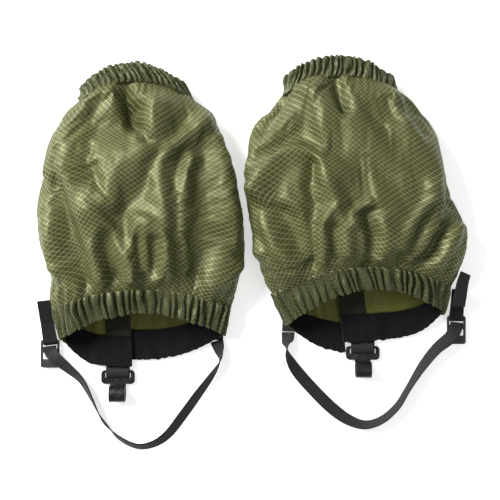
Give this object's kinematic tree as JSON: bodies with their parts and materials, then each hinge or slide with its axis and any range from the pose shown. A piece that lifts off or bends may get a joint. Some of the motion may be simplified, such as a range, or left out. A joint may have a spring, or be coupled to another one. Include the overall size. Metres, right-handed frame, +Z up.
{
  "type": "ankle gaiters",
  "caption": "Pair of short gathered nylon ankle gaiters with elastic top and foot casings, a hook-and-loop front, lace hooks and buckled under-foot straps.",
  "frame": {"origin": "middle of the box of the pair without its foot straps, on the table that it lies on", "axes": "+X from the left gaiter to the right one, +Y from the foot ends to the tops, +Z up from the table to the backs of the gaiters"},
  "size_m": [0.4594, 0.4174, 0.0602],
  "materials": {
    "shell_cloth": "coated ripstop nylon, satin",
    "casing_cloth": "coated ripstop nylon, gathered",
    "placket_cloth": "matte backing cloth",
    "elastic": "ribbed knit elastic, matte",
    "fastener_tape": "hook-and-loop tape, matte",
    "webbing": "flat woven webbing",
    "buckle_plastic": "moulded, satin",
    "hook_metal": "black plated steel, satin"
  },
  "bodies": {
    "left_gaiter": {"left_back_panel": "shell_cloth", "left_inner_front_panel": "shell_cloth", "left_outer_front_panel": "shell_cloth", "left_foot_casing": "casing_cloth", "left_hem_elastic": "elastic", "left_top_casing": "casing_cloth", "left_top_elastic": "elastic", "left_loop_tape": "fastener_tape", "left_placket_strip": "placket_cloth", "left_hook_tab": "webbing", "left_buckle_tab": "webbing", "left_strap_anchor": "webbing"},
    "left_flap": {"left_closure_flap": "shell_cloth", "left_hook_tape": "fastener_tape"},
    "left_hook": {"left_lace_hook": "hook_metal"},
    "left_strap": {"left_buckle": "buckle_plastic", "left_foot_strap": "webbing"},
    "right_gaiter": {"right_back_panel": "shell_cloth", "right_inner_front_panel": "shell_cloth", "right_outer_front_panel": "shell_cloth", "right_foot_casing": "casing_cloth", "right_hem_elastic": "elastic", "right_top_casing": "casing_cloth", "right_top_elastic": "elastic", "right_loop_tape": "fastener_tape", "right_placket_strip": "placket_cloth", "right_hook_tab": "webbing", "right_buckle_tab": "webbing", "right_strap_anchor": "webbing"},
    "right_flap": {"right_closure_flap": "shell_cloth", "right_hook_tape": "fastener_tape"},
    "right_hook": {"right_lace_hook": "hook_metal"},
    "right_strap": {"right_buckle": "buckle_plastic", "right_foot_strap": "webbing"},
    "right_tail": {"right_strap_tail": "webbing"}
  },
  "joints": [
    {"name": "pair_spread", "type": "slide", "parent": "left_gaiter", "child": "right_gaiter", "axis": [1, 0, 0], "range_m": [0, 0.15]},
    {"name": "left_flap_open", "type": "hinge", "parent": "left_gaiter", "child": "left_flap", "pos_m": [-0.12967, -0.14695, 0], "axis": [0.031, -0.9995, 0], "range_deg": [0, 150]},
    {"name": "left_hook_swing", "type": "hinge", "parent": "left_gaiter", "child": "left_hook", "pos_m": [-0.14517, -0.15055, 0.0031], "axis": [-1, 0, 0], "range_deg": [0, 90]},
    {"name": "left_strap_swing", "type": "hinge", "parent": "left_gaiter", "child": "left_strap", "pos_m": [-0.21767, -0.11775, 0.0046], "axis": [-0.9999, 0.0011, 0.0151], "range_deg": [0, 40]},
    {"name": "right_flap_open", "type": "hinge", "parent": "right_gaiter", "child": "right_flap", "pos_m": [0.09633, -0.12029, 0], "axis": [-0.1001, 0.995, 0], "range_deg": [0, 150]},
    {"name": "right_hook_swing", "type": "hinge", "parent": "right_gaiter", "child": "right_hook", "pos_m": [0.11733, -0.12465, 0.0031], "axis": [-1, 0, 0], "range_deg": [0, 90]},
    {"name": "right_strap_swing", "type": "hinge", "parent": "right_gaiter", "child": "right_strap", "pos_m": [0.21733, -0.09235, 0.0046], "axis": [-0.9957, -0.0913, -0.0171], "range_deg": [0, 40]},
    {"name": "right_tail_swing", "type": "hinge", "parent": "right_gaiter", "child": "right_tail", "pos_m": [0.21733, -0.09235, 0.0046], "axis": [1, 0, 0], "range_deg": [0, 50]}
  ]
}
